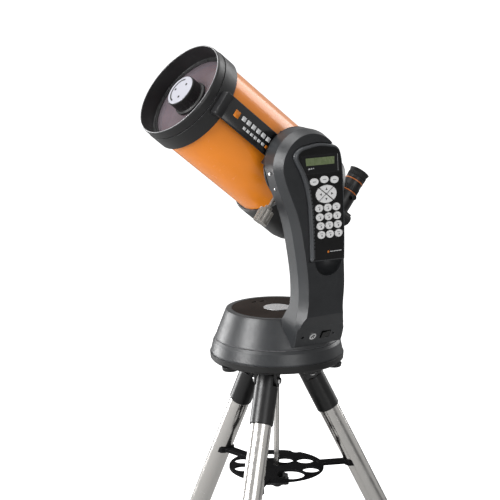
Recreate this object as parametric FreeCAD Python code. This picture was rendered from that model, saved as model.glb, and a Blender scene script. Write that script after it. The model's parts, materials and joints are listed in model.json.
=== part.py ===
import FreeCAD, Part
import math
import os

V = FreeCAD.Vector
os.makedirs("parts", exist_ok=True)
X_AXIS = V(1, 0, 0)
Y_AXIS = V(0, 1, 0)
Z_AXIS = V(0, 0, 1)
ORIGIN = V(0, 0, 0)

# All sizes are in millimetres. The origin is on the floor, on the azimuth axis. The arm is on -Y.
RING_Z = 660.0            # height of the widest ring of the turntable above the floor
FIT_GAP = 0.3             # gap between pieces of different bodies
RUN_GAP = 0.05            # radial clearance of a running fit

# Optical tube. The tube frame has its third axis along the tube and its first axis upward.
TUBE_TILT = 38.0          # elevation of the tube at rest, degrees
TUBE_POINT = V(0, 10, RING_Z + 337.6)
TUBE_R = 87.7
TUBE_WALL = 1.5
CELL_R = 93.3
TUBE_FRONT = 206.0        # stations along the tube, measured from TUBE_POINT
TUBE_REAR = 5.0
CELL_FRONT = 255.0
SEAT_START = 238.0        # the dew shield's seat runs from here to 4 mm short of the rim
SEAT_R = 92.2
GLASS_FRONT = 222.0
CELL_REAR = -103.0
BAFFLE_R = 19.0
NOSE_R = 15.875           # 1.25 inch eyepiece fitting
EYEPIECE_STATION = -166.0
PIVOT_STATION = 42.0      # altitude axis, along the tube
FOCUS_POINT = (-4, -62)   # focus knob, in the tube frame across its axis
CAP_R = 28.2              # collimation cap
RING_INNER_R = 80.0       # clear opening of the ring that holds the corrector

# Dovetail and saddle, in the tube frame across and along, y in the object's frame
BAR_HALF_WIDE = 22.0
BAR_HALF_NARROW = 18.0
BAR_Y = (-96.0, -84.0)
BAR_START = -60.0
BAR_END = 229.0
SADDLE_R = 66.0
AXLE_R = 14.0
AXLE_END_Y = -123.2
CLAMP_STATION = 34.0
CLAMP_Y = -89.5 - TUBE_POINT.y
CLAMP_GRIP = -93.0        # near end of the clamp knob's grip, across the tube

# Arm
ARM_INNER_Y = -104.0
ARM_EDGE_Y = -129.5
ARM_OUTER_Y = -150.0
ARM_EDGE_INSET = 7.0
ARM_LEFT = [(-42, 38), (-47, 62), (-51, 84), (-47, 104), (-44, 137), (-46, 173), (-54, 222), (-64, 267),
            (-79, 306), (-94, 342), (-99, 366), (-94, 390), (-80, 410), (-59, 424), (-33, 429)]
ARM_RIGHT = [(-8, 424), (12, 412), (26, 388), (33, 355), (38, 315), (43, 250), (46, 187), (46.5, 138),
             (45, 104), (54, 70), (61, 38)]
PORT_TOP = (-150.0, 99.0)     # y and height of the slope that carries the ports
PORT_BOTTOM = (-113.0, 34.0)
PORT_HEIGHT = 56.6
PORT_RECESS = ((-80, -40, -1.6), (90, 23, 20))    # in the frame of the ports

# Handset
HANDSET_FRONT_Y = -154.0
HANDSET_SPLIT_Y = -142.0
HANDSET_BACK_Y = -130.0
HANDSET = [(-34.8, 199), (-36, 235), (-38.5, 277), (-44, 318), (-55, 350), (-67, 372), (-72, 386),
           (-64, 396), (-45, 402), (-20, 405), (4, 402), (20, 396), (26, 384), (30, 360), (34, 300),
           (36.3, 240), (36.6, 197)]
KEY_TOP_Y = -155.6
KEY_BOTTOM_Y = -151.0
KEY_POCKET_Y = -149.0
KEY_GAP = 0.4
POCKET_GAP = 1.4

# Turntable, as pairs of radius and height above the ring
TABLE_SIDE = [(91.5, 83.5), (93.8, 82.6), (95.3, 79.5), (109.5, 42), (112.6, 33), (113.6, 31.0),
              (112.8, 30.2), (114.6, 29.4), (117.6, 24), (121.5, 6), (121.5, -1), (119, -6)]
TABLE_OUTER = [(0, 83.5)] + TABLE_SIDE + [(0, -6)]
TABLE_INSIDE = [(117, -6), (117, 4), (112.5, 22), (109, 31), (105, 42), (91.5, 78), (80, 78), (80, 80.5),
                (84, 80.5), (84, 83.5)]
TABLE_SHELL = TABLE_SIDE + TABLE_INSIDE
DOOR_R = 83.0
DOOR_SLOTS = [(-11, 58), (6.5, 56)]
DISC_R = 24.7
SPINDLE_R = 20.0
SPINDLE_END = -20.0       # height of the spindle's end, from the ring
RING_PLATE_LOW = -9.5     # underside of the fixed plate below the turntable
HEAD_LOW = RING_Z - 16.5  # underside of the tripod head
HEAD_R = 92.0

# Tripod
LEG_ANGLES = {"a": -141.0, "b": 99.0, "c": -21.0}
LEG_TILT = 26.73
LEG_TOP_RADIUS = 59.9     # radius of the leg's axis at its reference station
LEG_TOP_Z = RING_Z - 33.2
LEG_R = 19.05             # 1.5 inch steel tube
LOWER_R = 15.9
HINGE_STATION = 4.3
HINGE_PIN_R = 4.0
EAR_R = 12.0
TONGUE_HALF = 15.5        # half the flattened width of a leg's top, between the ears
SLEEVE_R = 21.5
SLEEVE_START = -5.0
SLEEVE_END = 88.0
TUBE_START = 40.0         # station where a leg's upper tube starts, inside its sleeve
UPPER_END = 440.0
COLLAR_R = 24.0
TRAY_Z = RING_Z - 221.7
TRAY_R = 88.5
TRAY_HALF = 2.0
TRAY_HOLES = [(-8, -58, 25.8), (39, -56, 16.2), (60, -8, 16.2), (30, 15, 16.2), (22.5, 53, 16.2),
              (-38, 56.3, 16.2), (-62, 20, 16.2)]
TRAY_HUB = (12.0, -16.0)  # radius of the tray's hub, and its end below TRAY_Z
CUP_R = 25.0              # clip of the tray round a leg
CUP_HALF = 17.0
ROD_R = 5.0
ROD_END = TRAY_Z - 38.0
FOOT_R = 21.0
FOOT_H = 12.0
FOOT_AXIS_Z = 14.0        # height where a leg's axis crosses the axis of its foot
BOOT_R = 18.0


def rod(radius, start, direction, length):
    return Part.makeCylinder(radius, length, start, direction)


def pipe(outer, inner, start, direction, length):
    extra = direction * 1.0
    hole = rod(inner, start - extra, direction, length + 2.0)
    return rod(outer, start, direction, length).cut(hole)


def block(low, high):
    size = V(*high) - V(*low)
    return Part.makeBox(size.x, size.y, size.z, V(*low))


def turned(profile, lift=0.0):
    points = [V(radius, 0, height + lift) for radius, height in profile]
    face = Part.Face(Part.makePolygon(points + points[:1]))
    return face.revolve(ORIGIN, Z_AXIS, 360)


def offset_points(points, distance):
    """Move an open run of points inward, to the right of the way it runs."""
    last = len(points) - 1
    moved = []
    for index, point in enumerate(points):
        before = points[max(index - 1, 0)]
        after = points[min(index + 1, last)]
        step_x = after[0] - before[0]
        step_z = after[1] - before[1]
        size = math.hypot(step_x, step_z)
        across = V(step_z / size, -step_x / size, 0)
        if index in (0, last):
            across = V(math.copysign(1.0, across.x), 0, 0)
        moved.append((point[0] + across.x * distance, point[1] + across.y * distance))
    return moved


def outline_wire(points, y):
    """A closed wire at one y: a smooth curve through the points and a straight lower edge."""
    curve = Part.BSplineCurve()
    curve.interpolate([V(x, y, RING_Z + z) for x, z in points])
    ends = [V(points[index][0], y, RING_Z + points[index][1]) for index in (-1, 0)]
    return Part.Wire([curve.toShape(), Part.makeLine(*ends)])


def outline_solid(points, y_from, y_to):
    face = Part.Face(outline_wire(points, y_from))
    return face.extrude(V(0, y_to - y_from, 0))


def oval(x, z, half_wide, half_high, y_from, y_to):
    centre = V(x, y_from, RING_Z + z)
    along = V(half_wide, 0, 0)
    if half_high > half_wide:
        curve = Part.Ellipse(centre + V(0, 0, half_high), centre + along, centre)
    else:
        curve = Part.Ellipse(centre + along, centre + V(0, 0, half_high), centre)
    face = Part.Face(Part.Wire(curve.toShape()))
    return face.extrude(V(0, y_to - y_from, 0))


def tube_place(shape):
    """Put a shape from the tube frame into the object's frame."""
    moved = shape.copy()
    moved.rotate(ORIGIN, Y_AXIS, TUBE_TILT - 90.0)
    moved.translate(TUBE_POINT)
    return moved


def ports_place(shape):
    """Put a shape from the frame of the ports slope into the object's frame."""
    rise = PORT_TOP[1] - PORT_BOTTOM[1]
    run = PORT_TOP[0] - PORT_BOTTOM[0]
    share = (PORT_HEIGHT - PORT_BOTTOM[1]) / rise
    moved = shape.copy()
    moved.rotate(ORIGIN, X_AXIS, math.degrees(math.atan2(rise, run)))
    moved.translate(V(0, PORT_BOTTOM[0] + share * run, RING_Z + PORT_HEIGHT))
    return moved


def leg_place(shape, angle):
    """Put a shape from a leg's frame, axis along +Z downward along the leg, into the object's frame."""
    moved = shape.copy()
    moved.rotate(ORIGIN, Y_AXIS, 180.0 - LEG_TILT)
    moved.translate(V(LEG_TOP_RADIUS, 0, LEG_TOP_Z))
    moved.rotate(ORIGIN, Z_AXIS, angle)
    return moved


def save(name, shape):
    if not shape.isValid():
        raise ValueError("not a valid solid: " + name)
    shape.exportStep("parts/" + name + ".step")


def at(x, y, z):
    return V(x, y, z)


# ---- Optical tube ----

def make_front_cell():
    groove = SEAT_START - 1.2
    profile = [(TUBE_R, TUBE_FRONT), (CELL_R - 2.5, TUBE_FRONT), (CELL_R, TUBE_FRONT + 2), (CELL_R, groove),
               (SEAT_R - 1.2, groove), (SEAT_R - 1.2, SEAT_START), (SEAT_R, SEAT_START),
               (SEAT_R, CELL_FRONT - 4),
               (SEAT_R - 0.8, CELL_FRONT - 0.6), (SEAT_R - 1.4, CELL_FRONT), (SEAT_R - 2.2, CELL_FRONT),
               (SEAT_R - 2.8, CELL_FRONT - 0.6), (87, GLASS_FRONT + 3), (84, GLASS_FRONT + 3),
               (84, GLASS_FRONT - 4), (79, GLASS_FRONT - 4), (79, TUBE_FRONT + 7), (TUBE_R, TUBE_FRONT + 7)]
    return turned(profile)


def make_corrector_ring():
    ring = pipe(84, RING_INNER_R, at(0, 0, GLASS_FRONT), Z_AXIS, 2.2)
    screw_radius = (84 + RING_INNER_R) / 2
    for step in range(6):
        angle = math.radians(step * 60 + 15)
        centre = at(screw_radius * math.cos(angle), screw_radius * math.sin(angle), GLASS_FRONT + 2.2)
        ring = ring.fuse(rod(1.9, centre, Z_AXIS, 1.2))
    return ring


def make_secondary_housing():
    profile = [(26, GLASS_FRONT - 10), (27, GLASS_FRONT - 10), (27, GLASS_FRONT), (33, GLASS_FRONT),
               (33, GLASS_FRONT + 5), (30, GLASS_FRONT + 7), (30, GLASS_FRONT + 27),
               (29.2, GLASS_FRONT + 28.6), (CAP_R, GLASS_FRONT + 28.6), (CAP_R, GLASS_FRONT + 26),
               (0, GLASS_FRONT + 26), (0, GLASS_FRONT - 8),
               (26, GLASS_FRONT - 8)]
    housing = turned(profile)
    for step in range(36):
        angle = math.radians(step * 10)
        centre = at(30.6 * math.cos(angle), 30.6 * math.sin(angle), GLASS_FRONT + 9)
        housing = housing.cut(rod(1.2, centre, Z_AXIS, 12))
    return housing


def make_collimation_cap():
    face_station = GLASS_FRONT + 29
    cap = rod(CAP_R, at(0, 0, GLASS_FRONT + 26), Z_AXIS, 3)
    for step in range(3):
        angle = math.radians(step * 120 + 90)
        centre = at(15 * math.cos(angle), 15 * math.sin(angle), face_station - 2)
        cap = cap.cut(rod(2, centre, Z_AXIS, 4))
    slot = pipe(23.5, 21, at(0, 0, face_station - 1), Z_AXIS, 3)
    slot = slot.cut(block((-30, -30, face_station - 3), (30, 4, face_station + 5)))
    return cap.cut(slot)


def make_dovetail_bar():
    points = [(BAR_Y[0], -BAR_HALF_WIDE), (BAR_Y[0], BAR_HALF_WIDE), (BAR_Y[1], BAR_HALF_NARROW),
              (BAR_Y[1], -BAR_HALF_NARROW)]
    corners = [V(across, y - TUBE_POINT.y, BAR_START) for y, across in points]
    bar = Part.Face(Part.makePolygon(corners + corners[:1])).extrude(V(0, 0, BAR_END - BAR_START))
    bevel = block((-30, -14, -12), (30, 0, 12))
    bevel.rotate(ORIGIN, X_AXIS, -40)
    bevel.translate(V(0, BAR_Y[0] - TUBE_POINT.y + 1, BAR_END + 4))
    bar = bar.cut(bevel)
    for station in (-45, 216):
        bar = bar.cut(rod(4.5, at(0, BAR_Y[0] - TUBE_POINT.y - 1, station), Y_AXIS, 5))
    blocks = block((-14, BAR_Y[1] - TUBE_POINT.y, TUBE_FRONT + 3), (14, 0, BAR_END - 4))
    blocks = blocks.fuse(block((-14, BAR_Y[1] - TUBE_POINT.y, -55), (14, 0, -30)))
    return bar.fuse(blocks.cut(rod(CELL_R, at(0, 0, -60), Z_AXIS, 300)))


def make_rear_cell():
    profile = [(TUBE_R, TUBE_REAR), (CELL_R - 2.5, TUBE_REAR), (CELL_R, TUBE_REAR - 3),
               (CELL_R, CELL_REAR + 22),
               (91, CELL_REAR + 11), (84, CELL_REAR + 3), (74, CELL_REAR), (BAFFLE_R, CELL_REAR),
               (BAFFLE_R, CELL_REAR + 8), (74, CELL_REAR + 8), (82, CELL_REAR + 13), (85, CELL_REAR + 24),
               (85, TUBE_REAR - 10), (TUBE_R, TUBE_REAR - 10)]
    return turned(profile).cut(rod(3.1, at(*FOCUS_POINT, CELL_REAR - 5), Z_AXIS, 20))


def make_visual_back():
    profile = [(NOSE_R + RUN_GAP, CELL_REAR), (34, CELL_REAR), (34, CELL_REAR - 6), (23, CELL_REAR - 8),
               (23, CELL_REAR - 24), (NOSE_R + RUN_GAP, CELL_REAR - 24)]
    back = turned(profile)
    screw = rod(3, at(0, -22, CELL_REAR - 16), V(0, -1, 0), 5)
    screw = screw.fuse(rod(5, at(0, -27, CELL_REAR - 16), V(0, -1, 0), 8))
    return back.fuse(screw)


def make_primary_mirror():
    blank = pipe(76, 26, at(0, 0, -72), Z_AXIS, 18)
    hollow = Part.makeSphere(1500, at(0, 0, 1500 - 56.8))
    return blank.cut(hollow)


def make_mirror_carrier():
    sleeve = pipe(26, BAFFLE_R + RUN_GAP, at(0, 0, -78), Z_AXIS, 48)
    back = pipe(70, 26, at(0, 0, -78), Z_AXIS, 6)
    return sleeve.fuse(back).cut(rod(4.5, at(*FOCUS_POINT, -80), Z_AXIS, 10))


def make_focus_knob():
    point = FOCUS_POINT
    knob = rod(3, at(*point, -77), V(0, 0, -1), 45)
    knob = knob.fuse(rod(8, at(*point, CELL_REAR - FIT_GAP), V(0, 0, -1), 14))
    grip = rod(11, at(*point, -118), V(0, 0, -1), 34)
    for step in range(16):
        angle = math.radians(step * 22.5)
        centre = at(point[0] + 11.6 * math.cos(angle), point[1] + 11.6 * math.sin(angle), -121)
        grip = grip.cut(rod(1.4, centre, V(0, 0, -1), 28))
    return knob.fuse(grip)


def make_star_diagonal():
    nose = pipe(NOSE_R, 13.8, at(0, 0, -128), Z_AXIS, 24)
    body = block((-19, -19, -187), (23, 19, -128))
    corner = block((-14, -30, -40), (14, 30, 40))
    corner.rotate(ORIGIN, Y_AXIS, -45)
    corner.translate(V(-24, 0, -192))
    body = body.cut(corner)
    holder = rod(19, at(22, 0, EYEPIECE_STATION), X_AXIS, 34)
    screw = rod(3, at(50, -18, EYEPIECE_STATION), V(0, -1, 0), 4).fuse(
        rod(5, at(50, -21, EYEPIECE_STATION), V(0, -1, 0), 7))
    body = body.fuse(holder).fuse(screw)
    body = body.cut(rod(NOSE_R + RUN_GAP, at(12, 0, EYEPIECE_STATION), X_AXIS, 50))
    body = body.cut(rod(13.8, at(0, 0, EYEPIECE_STATION), Z_AXIS, 60))
    body = body.cut(rod(13.8, at(0, 0, EYEPIECE_STATION), X_AXIS, 30))
    return body.fuse(nose)


def make_eyepiece_body():
    profile = [(13.6, 28), (NOSE_R, 28), (NOSE_R, 56 + FIT_GAP), (17.4, 56 + FIT_GAP), (17.4, 84), (17.9, 85),
               (17.9, 89), (17.2, 90), (13, 90), (13, 60), (13.6, 58)]
    return turned(profile)


def make_eyecup():
    profile = [(13, 90), (17.2, 90), (17.6, 98), (19.6, 104), (18, 104.6), (14.5, 100), (13, 97)]
    return turned(profile)


def eyepiece_place(shape):
    """Turn a shape from its own axis onto the eyepiece axis of the tube frame."""
    moved = shape.copy()
    moved.rotate(ORIGIN, Y_AXIS, 90)
    moved.translate(V(0, 0, EYEPIECE_STATION))
    return tube_place(moved)


save("tube_shell", tube_place(pipe(TUBE_R, TUBE_R - TUBE_WALL, at(0, 0, TUBE_REAR - 10), Z_AXIS,
                                   TUBE_FRONT - TUBE_REAR + 17)))
save("front_cell", tube_place(make_front_cell()))
save("corrector_plate", tube_place(pipe(84, 27, at(0, 0, GLASS_FRONT - 4), Z_AXIS, 4)))
save("corrector_ring", tube_place(make_corrector_ring()))
save("secondary_housing", tube_place(make_secondary_housing()))
save("secondary_mirror", tube_place(rod(25, at(0, 0, GLASS_FRONT - 12), Z_AXIS, 4)))
save("collimation_cap", tube_place(make_collimation_cap()))
save("dovetail_bar", tube_place(make_dovetail_bar()))
save("rear_cell", tube_place(make_rear_cell()))
save("baffle_tube", tube_place(pipe(BAFFLE_R, BAFFLE_R - 1.5, at(0, 0, CELL_REAR), Z_AXIS, 150)))
save("visual_back", tube_place(make_visual_back()))
save("primary_mirror", tube_place(make_primary_mirror()))
save("mirror_carrier", tube_place(make_mirror_carrier()))
save("focus_knob", tube_place(make_focus_knob()))
save("star_diagonal", tube_place(make_star_diagonal()))
save("eyepiece_body", eyepiece_place(make_eyepiece_body()))
save("eyecup", eyepiece_place(make_eyecup()))


# ---- Saddle and clamp knob, in the tube frame ----

def make_saddle():
    pivot = at(0, ARM_INNER_Y + 0.5 - TUBE_POINT.y, PIVOT_STATION)
    disc = rod(SADDLE_R, pivot, Y_AXIS, 3.5)
    low_y = pivot.y + 3.5
    bar_y = BAR_Y[0] - TUBE_POINT.y
    plate = block((-33, low_y, -10), (33, bar_y - FIT_GAP, 94))
    saddle = disc.fuse(plate)
    slope = (BAR_HALF_WIDE - BAR_HALF_NARROW) / (BAR_Y[1] - BAR_Y[0])
    jaw_top = 10.5
    for side in (-1, 1):
        near = BAR_HALF_WIDE + 0.1
        points = [V(side * near, bar_y - FIT_GAP, -10), V(side * 33, bar_y - FIT_GAP, -10),
                  V(side * 33, bar_y + jaw_top, -10),
                   V(side * (near - slope * jaw_top), bar_y + jaw_top, -10)]
        saddle = saddle.fuse(Part.Face(Part.makePolygon(points + points[:1])).extrude(V(0, 0, 104)))
    saddle = saddle.cut(rod(3.1, at(-24, CLAMP_Y, CLAMP_STATION), V(-1, 0, 0), 20))
    axle_length = pivot.y - AXLE_END_Y + TUBE_POINT.y
    axle = rod(AXLE_R, at(0, AXLE_END_Y - TUBE_POINT.y, PIVOT_STATION), Y_AXIS, axle_length)
    return saddle.fuse(axle)


def make_clamp_knob():
    start = at(-25.5, CLAMP_Y, CLAMP_STATION)
    down = V(-1, 0, 0)
    knob = rod(3.05, start, down, -CLAMP_GRIP - 25)
    collar = rod(7, at(CLAMP_GRIP + 7, CLAMP_Y, CLAMP_STATION), down, 8)
    grip = rod(13.4, at(CLAMP_GRIP, CLAMP_Y, CLAMP_STATION), down, 25)
    for step in range(10):
        angle = math.radians(step * 36)
        centre = at(CLAMP_GRIP + 1, CLAMP_Y + 14.6 * math.cos(angle), CLAMP_STATION + 14.6 * math.sin(angle))
        grip = grip.cut(rod(2.6, centre, down, 23))
    return knob.fuse(collar).fuse(grip)


save("altitude_saddle", tube_place(make_saddle()))
save("clamp_knob", tube_place(make_clamp_knob()))


# ---- Arm, turntable and ports ----

PIVOT = tube_place(Part.Vertex(0, 0, PIVOT_STATION)).Point
ARM = ARM_LEFT + ARM_RIGHT


def make_pocket_outline():
    """The handset's outline, wider all round, its two ends also moved down."""
    wide = offset_points(HANDSET, -POCKET_GAP)
    wide[0] = (wide[0][0], wide[0][1] - POCKET_GAP)
    wide[-1] = (wide[-1][0], wide[-1][1] - POCKET_GAP)
    return wide


def make_arm_outer():
    inset = offset_points(ARM, ARM_EDGE_INSET)
    body = outline_solid(ARM, ARM_INNER_Y, ARM_EDGE_Y)
    cap = Part.makeLoft([outline_wire(ARM, ARM_EDGE_Y), outline_wire(inset, ARM_OUTER_Y)], True, True)
    return body.fuse(cap).removeSplitter()


def make_foot():
    """The inward step of the arm that stands on the turntable's cone."""
    foot = outline_solid(ARM, ARM_INNER_Y, -87)
    corners = [V(-150, -87, RING_Z + 84), V(-150, ARM_INNER_Y, RING_Z + 118),
               V(-150, ARM_INNER_Y, RING_Z + 460), V(-150, -80, RING_Z + 460), V(-150, -80, RING_Z + 84)]
    above = Part.Face(Part.makePolygon(corners + corners[:1])).extrude(V(300, 0, 0))
    return foot.cut(above)


def make_arm_shell():
    arm = make_arm_outer().fuse(make_foot())
    corners = [V(-120, PORT_TOP[0] - 5, RING_Z + PORT_TOP[1] + 8.78),
               V(-120, PORT_BOTTOM[0] + 6, RING_Z + 23.5), V(-120, -200, RING_Z + 23.5)]
    arm = arm.cut(Part.Face(Part.makePolygon(corners + corners[:1])).extrude(V(240, 0, 0)))
    arm = arm.cut(turned(TABLE_OUTER, RING_Z))
    inner = offset_points(ARM, 5)
    cavity = outline_solid(inner, ARM_INNER_Y, -124)
    cavity = cavity.cut(block((-150, -160, RING_Z), (150, -80, RING_Z + 118)))
    arm = arm.cut(cavity)
    arm = arm.cut(block((-36, -146, RING_Z + 122), (34, -123, RING_Z + 166)))
    arm = arm.cut(outline_solid(make_pocket_outline(), -160, HANDSET_BACK_Y + 0.4))
    scoop = Part.makeSphere(30, at(5, -156, RING_Z + 199))
    arm = arm.cut(scoop)
    arm = arm.cut(ports_place(block(*PORT_RECESS)))
    arm = arm.cut(ports_place(rod(7, at(-10, 0, -12), Z_AXIS, 14)))
    arm = arm.cut(ports_place(rod(3.2, at(-31, -1, -12), Z_AXIS, 14)))
    arm = arm.cut(ports_place(rod(2.2, at(36, -1, -12), Z_AXIS, 14)))
    arm = arm.cut(ports_place(block((8, -8.5, -12), (29, 8.5, 2))))
    return arm


def make_arm_cover():
    inner = offset_points(ARM, 5)
    cover = outline_solid(inner, ARM_INNER_Y, ARM_INNER_Y - 4)
    cover = cover.cut(block((-150, -160, RING_Z), (150, -80, RING_Z + 118)))
    return cover.cut(rod(AXLE_R + RUN_GAP, at(PIVOT.x, -160, PIVOT.z), Y_AXIS, 70))


def make_battery_door():
    door = rod(DOOR_R, at(0, 0, RING_Z + 80.8), Z_AXIS, 2.7)
    for x, y in DOOR_SLOTS:
        door = door.cut(block((x - 5.5, y - 3.5, RING_Z + 82), (x + 5.5, y + 3.5, RING_Z + 85)))
    return door


def make_rocker():
    rocker = block((9.5, -6.5, -7), (27.5, 6.5, -1.2))
    ridge = block((9.5, -6.5, -1.3), (18.5, 6.5, 1.0))
    pin = rod(1.5, at(18.5, -8.2, -5), Y_AXIS, 16.4)
    return rocker.fuse(ridge).fuse(pin)


save("arm_shell", make_arm_shell())
save("arm_inner_cover", make_arm_cover())
save("altitude_drive", pipe(42, AXLE_R + RUN_GAP, at(PIVOT.x, -123.5, PIVOT.z), Y_AXIS, 15).fuse(
    pipe(20, AXLE_R + RUN_GAP, at(PIVOT.x, -123.9, PIVOT.z), Y_AXIS, 2)))
save("base_top_shell", turned(TABLE_SHELL, RING_Z))
save("battery_door", make_battery_door())
save("level_disc", rod(DISC_R, at(0, 0, RING_Z + 83.5), Z_AXIS, 0.9))
save("battery_pack", block((-60, -32, RING_Z + 4.2), (60, 32, RING_Z + 66)))
save("power_jack", ports_place(pipe(7, 4.2, at(-10, 0, -11), Z_AXIS, 11).fuse(
    rod(7, at(-10, 0, -11), Z_AXIS, 2)).fuse(rod(1.2, at(-10, 0, -11), Z_AXIS, 9))))
save("power_switch", ports_place(make_rocker()))
save("azimuth_drive", turned([(0, 4), (117, 4), (117, -2), (SPINDLE_R, -2), (SPINDLE_R, SPINDLE_END),
                              (0, SPINDLE_END)], RING_Z))
save("base_bottom", turned([(SPINDLE_R + RUN_GAP, -6.3), (108, -6.3), (108, RING_PLATE_LOW),
                            (SPINDLE_R + RUN_GAP, RING_PLATE_LOW)], RING_Z))


# ---- Handset and its keys ----

PAD = (-5.1, 316.0, 21.8, 15.6)
FUNCTION_KEYS = {"left": (-30.9, 339.0), "middle": (-9.4, 341.6), "right": (12.2, 339.6)}
NUMBER_COLUMNS = (-20.1, -1.6, 16.9)
NUMBER_TOP = 292.0
NUMBER_STEP = (1.85, -15.7)
NUMBER_HALF = (8.1, 6.7)
FUNCTION_HALF = (8.7, 6.2)


def number_centre(row, column):
    x = NUMBER_COLUMNS[column] + row * NUMBER_STEP[0]
    return x, NUMBER_TOP + row * NUMBER_STEP[1]


def make_pad_keys():
    """Four wedges of one oval, split along its diagonals."""
    x, z, half_wide, half_high = PAD
    pad = oval(x, z, half_wide, half_high, KEY_TOP_Y, KEY_BOTTOM_Y)
    for side in (-1, 1):
        cutter = block((-40, KEY_TOP_Y - 1, -1.0), (40, KEY_BOTTOM_Y + 1, 1.0))
        cutter.rotate(ORIGIN, Y_AXIS, side * 37)
        cutter.translate(V(x, 0, RING_Z + z))
        pad = pad.cut(cutter)
    keys = {}
    for solid in pad.Solids:
        centre = solid.CenterOfMass
        across = centre.x - x
        rise = centre.z - RING_Z - z
        if abs(across) > abs(rise):
            name = "right" if across > 0 else "left"
        else:
            name = "up" if rise > 0 else "down"
        keys[name] = solid
    return keys


def make_handset_shell():
    inset = offset_points(HANDSET, 2.5)
    edge_y = HANDSET_FRONT_Y + 3
    body = outline_solid(HANDSET, HANDSET_SPLIT_Y, edge_y)
    front = Part.makeLoft([outline_wire(HANDSET, edge_y), outline_wire(inset, HANDSET_FRONT_Y)], True, True)
    shell = body.fuse(front).removeSplitter()
    shell = shell.cut(oval(PAD[0], PAD[1], PAD[2] + KEY_GAP, PAD[3] + KEY_GAP, -160, KEY_POCKET_Y))
    for x, z in FUNCTION_KEYS.values():
        half = (FUNCTION_HALF[0] + KEY_GAP, FUNCTION_HALF[1] + KEY_GAP)
        shell = shell.cut(oval(x, z, *half, -160, KEY_POCKET_Y))
    for row in range(4):
        for column in range(3):
            half = (NUMBER_HALF[0] + KEY_GAP, NUMBER_HALF[1] + KEY_GAP)
            shell = shell.cut(oval(*number_centre(row, column), *half, -160, KEY_POCKET_Y))
    return shell.cut(make_window(-160))


def make_window(top_y):
    corners = [(-50, 353), (-58.5, 385), (22.5, 386), (23, 353)]
    points = [V(x, top_y, RING_Z + z) for x, z in corners]
    return Part.Face(Part.makePolygon(points + points[:1])).extrude(V(0, -152.6 - top_y, 0))


def make_number_row(row):
    keys = [oval(*number_centre(row, column), *NUMBER_HALF, KEY_TOP_Y, KEY_BOTTOM_Y) for column in range(3)]
    return Part.makeCompound(keys)


save("handset_shell", make_handset_shell())
save("handset_back", outline_solid(HANDSET, HANDSET_SPLIT_Y, HANDSET_BACK_Y))
save("lcd_window", make_window(HANDSET_FRONT_Y - 0.2))
for key_name, key_shape in make_pad_keys().items():
    save("arrow_key_" + key_name, key_shape)
for key_name, key_place in FUNCTION_KEYS.items():
    save("function_key_" + key_name, oval(*key_place, *FUNCTION_HALF, KEY_TOP_Y, KEY_BOTTOM_Y))
for key_row in range(4):
    save("number_keys_row_" + str(key_row + 1), make_number_row(key_row))


# ---- Tripod ----

def leg_point(station):
    """Radius and height of the point of the leg's axis at one station."""
    tilt = math.radians(LEG_TILT)
    return LEG_TOP_RADIUS + station * math.sin(tilt), LEG_TOP_Z - station * math.cos(tilt)


HINGE_RADIUS, HINGE_Z = leg_point(HINGE_STATION)


def make_ears():
    """The two ears and the pin that hold one leg, on the +X side."""
    pin_half = TONGUE_HALF + 9.0
    ears = rod(HINGE_PIN_R, at(HINGE_RADIUS, -pin_half, HINGE_Z), Y_AXIS, 2 * pin_half)
    for near in (TONGUE_HALF + FIT_GAP, -TONGUE_HALF - FIT_GAP - 5.2):
        ear = rod(EAR_R, at(HINGE_RADIUS, near, HINGE_Z), Y_AXIS, 5.2)
        web = block((HINGE_RADIUS - EAR_R, near, HINGE_Z), (HINGE_RADIUS + EAR_R, near + 5.2, HEAD_LOW + 1))
        ears = ears.fuse(ear).fuse(web)
    return ears


def make_tripod_head():
    top = RING_Z + RING_PLATE_LOW
    head = rod(HEAD_R, at(0, 0, HEAD_LOW), Z_AXIS, top - HEAD_LOW)
    head = head.fuse(rod(30, at(0, 0, HEAD_LOW - 12), Z_AXIS, 14))
    for angle in LEG_ANGLES.values():
        bracket = make_ears().fuse(rod(34, at(70, 0, HEAD_LOW), Z_AXIS, top - HEAD_LOW))
        bracket.rotate(ORIGIN, Z_AXIS, angle)
        lobe = rod(25, at(84, 0, HEAD_LOW), Z_AXIS, top - HEAD_LOW)
        lobe = lobe.fuse(rod(11, at(86, 0, HEAD_LOW - 7), Z_AXIS, 8))
        lobe.rotate(ORIGIN, Z_AXIS, angle + 60)
        head = head.fuse(bracket).fuse(lobe)
    return head.cut(rod(SPINDLE_R + 0.4, at(0, 0, RING_Z + SPINDLE_END - FIT_GAP), Z_AXIS, 30))


def make_sleeve():
    """Hinge end of a leg and the collar at the foot of its upper tube."""
    top = turned([(0, SLEEVE_START), (SLEEVE_R - 4, SLEEVE_START), (SLEEVE_R, SLEEVE_START + 5),
                  (SLEEVE_R, SLEEVE_END - 2), (SLEEVE_R - 1, SLEEVE_END), (0, SLEEVE_END)])
    shoulder = HINGE_STATION + EAR_R + 1
    for near in (TONGUE_HALF, -TONGUE_HALF - 20):
        top = top.cut(block((-30, near, SLEEVE_START - 5), (30, near + 20, shoulder)))
    top = top.cut(rod(HINGE_PIN_R + 0.06, at(0, -30, HINGE_STATION), Y_AXIS, 60))
    top = top.cut(rod(LEG_R, at(0, 0, TUBE_START), Z_AXIS, 80))
    collar = pipe(COLLAR_R, LEG_R, at(0, 0, UPPER_END - 36), Z_AXIS, 36)
    collar = collar.fuse(pipe(COLLAR_R, LOWER_R + 0.06, at(0, 0, UPPER_END), Z_AXIS, 12))
    outward = V(-1, 0, 0)
    screw = rod(4, at(-22, 0, UPPER_END - 18), outward, 12)
    screw = screw.fuse(rod(11, at(-33, 0, UPPER_END - 18), outward, 12))
    return Part.makeCompound([top, collar.fuse(screw)])


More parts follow.
